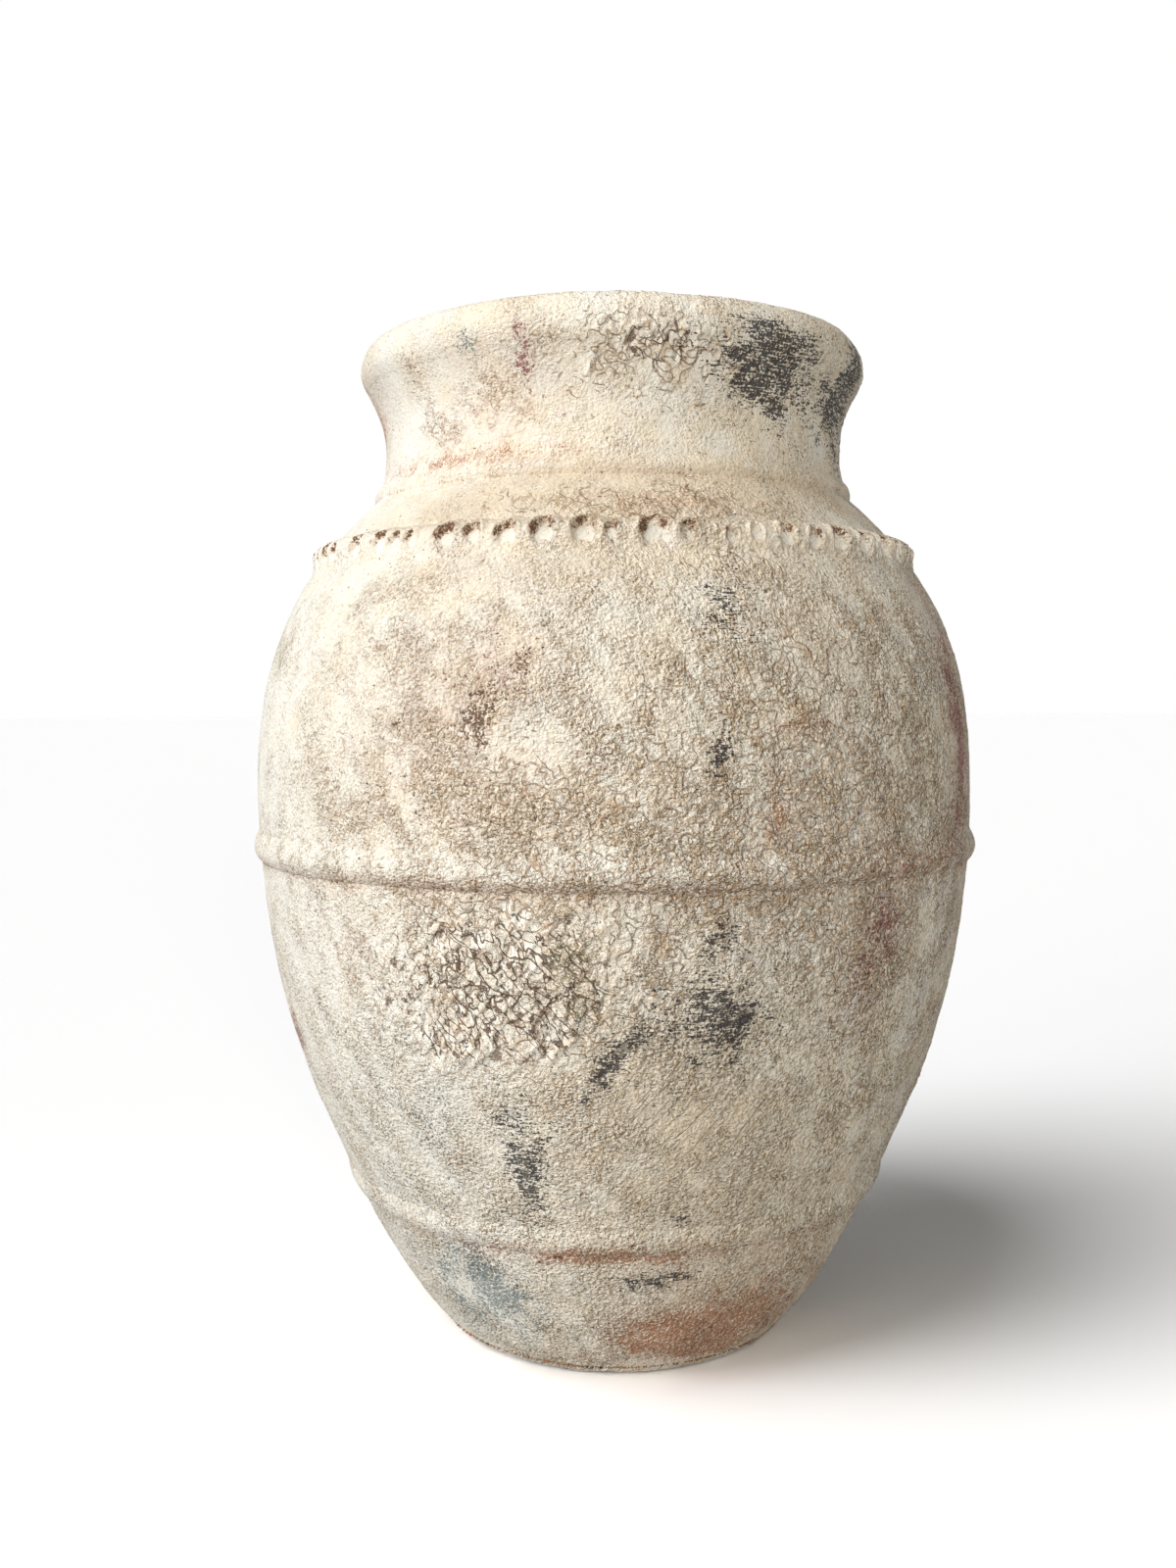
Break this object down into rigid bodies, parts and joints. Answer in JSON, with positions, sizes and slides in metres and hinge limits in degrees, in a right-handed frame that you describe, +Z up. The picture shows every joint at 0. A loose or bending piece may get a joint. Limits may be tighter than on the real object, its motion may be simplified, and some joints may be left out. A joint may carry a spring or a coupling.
{
  "type": "storage jar",
  "caption": "Tall ovoid clay storage jar with a narrow foot, wide open neck, rolled lip, plain raised bands and a finger-pressed band on the shoulder, under worn lime wash.",
  "frame": {"origin": "centre of the face that the jar stands on", "axes": "+Z up along the jar's axis of turning; +X and +Y are equal, as the jar is round"},
  "size_m": [0.5182, 0.5182, 0.7],
  "materials": {
    "wall_clay": "coarse unglazed terracotta under worn, crusted lime wash",
    "band_clay": "coarse unglazed terracotta, lime wash worn off the crests"
  },
  "bodies": {
    "root": {"base_disc": "wall_clay", "foot_wall": "wall_clay", "hip_wall": "wall_clay", "lower_belly_wall": "wall_clay", "upper_belly_wall": "wall_clay", "upper_wall": "wall_clay", "shoulder_wall": "wall_clay", "neck_collar": "wall_clay", "rim_lip": "wall_clay", "lower_band": "band_clay", "belly_band": "band_clay", "thumbed_band": "band_clay", "neck_ring": "band_clay"}
  },
  "joints": []
}
